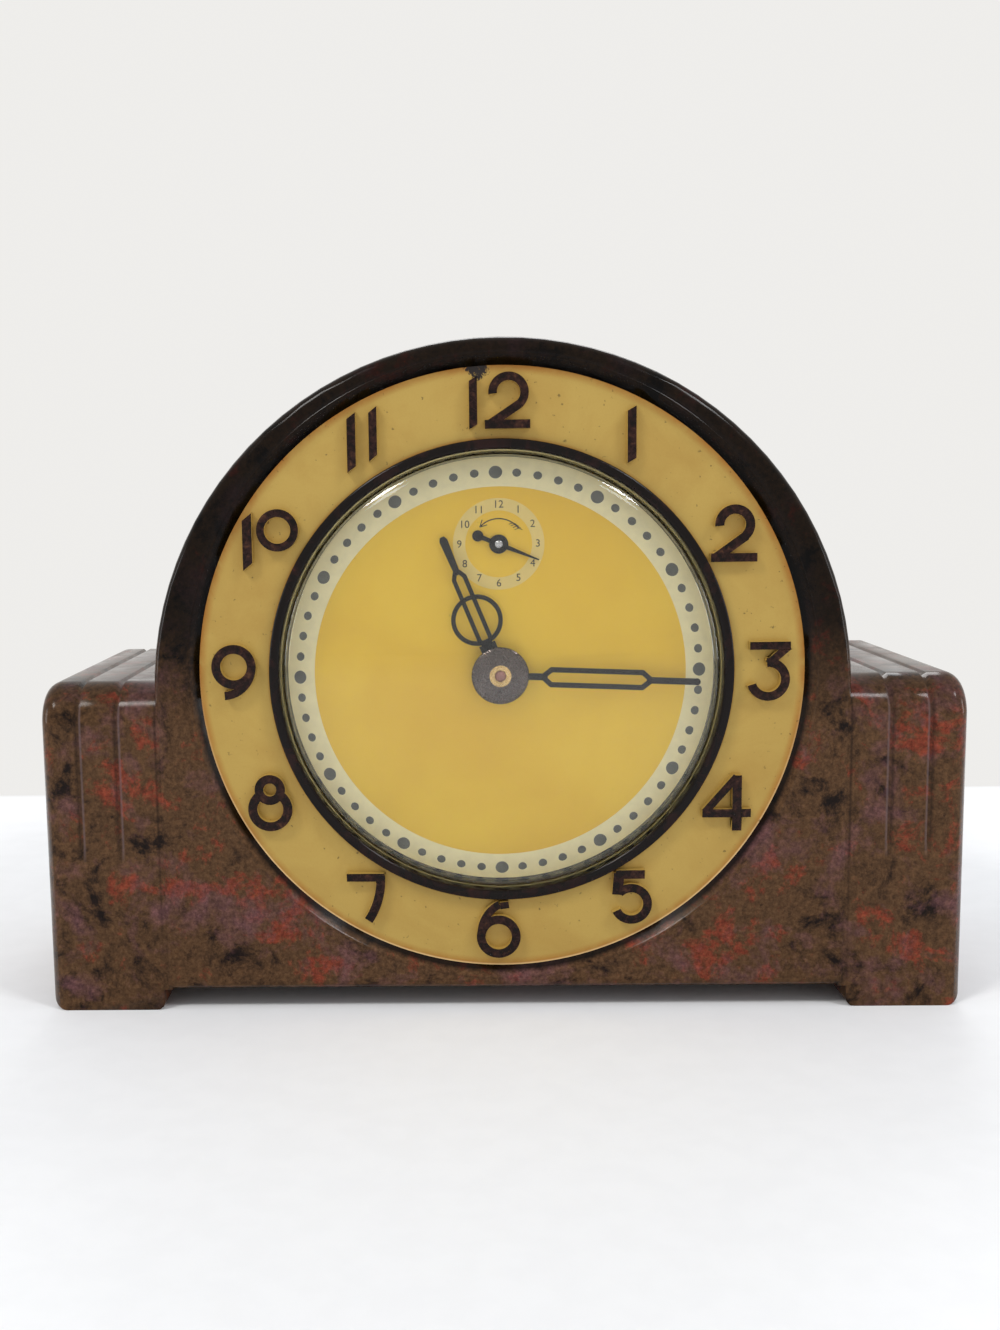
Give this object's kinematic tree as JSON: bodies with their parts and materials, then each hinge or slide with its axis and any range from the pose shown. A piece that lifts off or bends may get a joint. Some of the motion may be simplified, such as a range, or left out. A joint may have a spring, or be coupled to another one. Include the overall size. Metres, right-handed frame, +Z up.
{
  "type": "alarm clock",
  "caption": "Wind-up alarm clock in an arched moulded case with fluted shoulder wings, round dial under domed glass, keys and setting knobs behind.",
  "frame": {"origin": "middle of the whole clock's footprint box, on the surface that it stands on", "axes": "+X to the right seen from the front, +Y backwards from the dial to the keys, +Z up"},
  "size_m": [0.165, 0.081, 0.1195],
  "materials": {
    "bakelite": "polished mottled phenolic moulding",
    "glass": "clear domed glass",
    "dial_gold": "satin gold lacquer",
    "dial_cream": "matt cream paint",
    "figure_brown": "moulded figures, bare",
    "channel_gold": "aged gold paint",
    "hand_black": "black enamel",
    "hub_metal": "dark polished steel",
    "brass": "lacquered",
    "steel": "bright turned steel",
    "cover_paint": "dark brown stove enamel"
  },
  "bodies": {
    "frame": {"case": "bakelite", "crystal": "glass", "crystal_ring": "brass", "dial": "dial_gold", "back_cover": "cover_paint", "back_cover_screws": "steel", "front_plate": "brass", "back_plate": "brass", "pillars": "brass", "pillar_nuts": "brass", "movement_screws": "steel", "alarm_release_spring": "steel", "time_mainspring": "steel", "alarm_mainspring": "steel", "hairspring": "steel", "gong_post": "steel"},
    "centre_set": {"centre_arbor": "steel", "centre_wheel": "brass", "cannon_pinion": "brass", "minute_hand": "hand_black", "hub_washer": "hub_metal", "time_set_knob": "brass"},
    "hour_set": {"hour_wheel": "brass", "hour_hand": "hand_black"},
    "minute_wheel_set": {"minute_wheel": "brass"},
    "alarm_wheel_set": {"alarm_wheel": "brass"},
    "alarm_setting_set": {"alarm_arbor": "steel", "alarm_hand": "hand_black", "alarm_set_knob": "brass"},
    "time_great_set": {"time_great_wheel": "brass"},
    "time_winding_set": {"time_winding_arbor": "steel", "time_ratchet_wheel": "steel", "time_key": "brass"},
    "time_click_set": {"time_click": "steel"},
    "alarm_great_set": {"alarm_great_wheel": "brass"},
    "alarm_winding_set": {"alarm_winding_arbor": "steel", "alarm_ratchet_wheel": "steel", "alarm_key": "brass"},
    "alarm_click_set": {"alarm_click": "steel"},
    "third_set": {"third_wheel": "brass"},
    "fourth_set": {"fourth_wheel": "brass"},
    "escape_set": {"escape_wheel": "brass"},
    "fork_set": {"pallet_fork": "brass"},
    "balance_set": {"balance_wheel": "brass"},
    "regulator_set": {"regulator": "steel"},
    "alarm_escape_set": {"alarm_escape_wheel": "brass"},
    "hammer_set": {"alarm_hammer": "steel"},
    "stop_lever_set": {"alarm_stop_lever": "steel"}
  },
  "joints": [
    {"name": "minute_turn", "type": "hinge", "parent": "frame", "child": "centre_set", "pos_m": [0, -0.0073, 0.0605], "axis": [0, 1, 0], "continuous": true},
    {"name": "hour_turn", "type": "hinge", "parent": "frame", "child": "hour_set", "pos_m": [0, -0.0073, 0.0605], "axis": [0, 1, 0], "continuous": true},
    {"name": "minute_wheel_turn", "type": "hinge", "parent": "frame", "child": "minute_wheel_set", "pos_m": [0.00725, -0.0073, 0.04794], "axis": [0, 1, 0], "continuous": true},
    {"name": "alarm_wheel_turn", "type": "hinge", "parent": "frame", "child": "alarm_wheel_set", "pos_m": [0, -0.0073, 0.0837], "axis": [0, 1, 0], "continuous": true},
    {"name": "time_great_turn", "type": "hinge", "parent": "frame", "child": "time_great_set", "pos_m": [0.01376, -0.0073, 0.05086], "axis": [0, 1, 0], "continuous": true},
    {"name": "time_wind", "type": "hinge", "parent": "time_great_set", "child": "time_winding_set", "pos_m": [0.01376, -0.0073, 0.05086], "axis": [0, 1, 0], "range_deg": [0, 1800]},
    {"name": "time_click_lift", "type": "hinge", "parent": "time_great_set", "child": "time_click_set", "pos_m": [0.01376, -0.0073, 0.05926], "axis": [0, 1, 0], "range_deg": [0, 8], "stiffness_Nm_per_rad": 0.0002},
    {"name": "alarm_great_turn", "type": "hinge", "parent": "frame", "child": "alarm_great_set", "pos_m": [-0.0148, -0.0073, 0.0483], "axis": [0, 1, 0], "continuous": true},
    {"name": "alarm_wind", "type": "hinge", "parent": "alarm_great_set", "child": "alarm_winding_set", "pos_m": [-0.0148, -0.0073, 0.0483], "axis": [0, 1, 0], "range_deg": [0, 1800]},
    {"name": "alarm_click_lift", "type": "hinge", "parent": "alarm_great_set", "child": "alarm_click_set", "pos_m": [-0.0148, -0.0073, 0.0399], "axis": [0, 1, 0], "range_deg": [0, 8], "stiffness_Nm_per_rad": 0.0002},
    {"name": "alarm_escape_turn", "type": "hinge", "parent": "frame", "child": "alarm_escape_set", "pos_m": [-0.02727, -0.0073, 0.0555], "axis": [0, 1, 0], "continuous": true},
    {"name": "hammer_rock", "type": "hinge", "parent": "frame", "child": "hammer_set", "pos_m": [-0.0253, -0.0073, 0.06284], "axis": [0, 1, 0], "range_deg": [-6, 6]},
    {"name": "fourth_turn", "type": "hinge", "parent": "frame", "child": "fourth_set", "pos_m": [-0.01156, -0.0073, 0.07511], "axis": [0, 1, 0], "continuous": true},
    {"name": "third_turn", "type": "hinge", "parent": "frame", "child": "third_set", "pos_m": [-0.00979, -0.0073, 0.06506], "axis": [0, 1, 0], "continuous": true},
    {"name": "escape_turn", "type": "hinge", "parent": "frame", "child": "escape_set", "pos_m": [-0.00225, -0.0073, 0.07675], "axis": [0, 1, 0], "continuous": true},
    {"name": "fork_rock", "type": "hinge", "parent": "frame", "child": "fork_set", "pos_m": [0.00412, -0.0073, 0.07846], "axis": [0, 1, 0], "range_deg": [-6, 6]},
    {"name": "balance_swing", "type": "hinge", "parent": "frame", "child": "balance_set", "pos_m": [0.01408, -0.0073, 0.07933], "axis": [0, 1, 0], "range_deg": [-150, 150], "stiffness_Nm_per_rad": 0.0000074},
    {"name": "regulator_shift", "type": "hinge", "parent": "frame", "child": "regulator_set", "pos_m": [0.01408, -0.0073, 0.07933], "axis": [0, 1, 0], "range_deg": [-15, 15]},
    {"name": "alarm_set_turn", "type": "hinge", "parent": "frame", "child": "alarm_setting_set", "pos_m": [0, -0.0073, 0.0837], "axis": [0, 1, 0], "continuous": true},
    {"name": "alarm_stop_shift", "type": "hinge", "parent": "frame", "child": "stop_lever_set", "pos_m": [-0.007, -0.0073, 0.0895], "axis": [0, 1, 0], "range_deg": [-25, 0]}
  ],
  "couplings": [
    {"joint": "hour_turn", "follows": "minute_turn", "ratio": 0.083333},
    {"joint": "minute_wheel_turn", "follows": "minute_turn", "ratio": -0.33333},
    {"joint": "alarm_wheel_turn", "follows": "minute_turn", "ratio": -0.083333},
    {"joint": "time_great_turn", "follows": "minute_turn", "ratio": -0.16667},
    {"joint": "third_turn", "follows": "fourth_turn", "ratio": -0.14286},
    {"joint": "escape_turn", "follows": "fourth_turn", "ratio": -7},
    {"joint": "alarm_escape_turn", "follows": "alarm_great_turn", "ratio": -6}
  ]
}
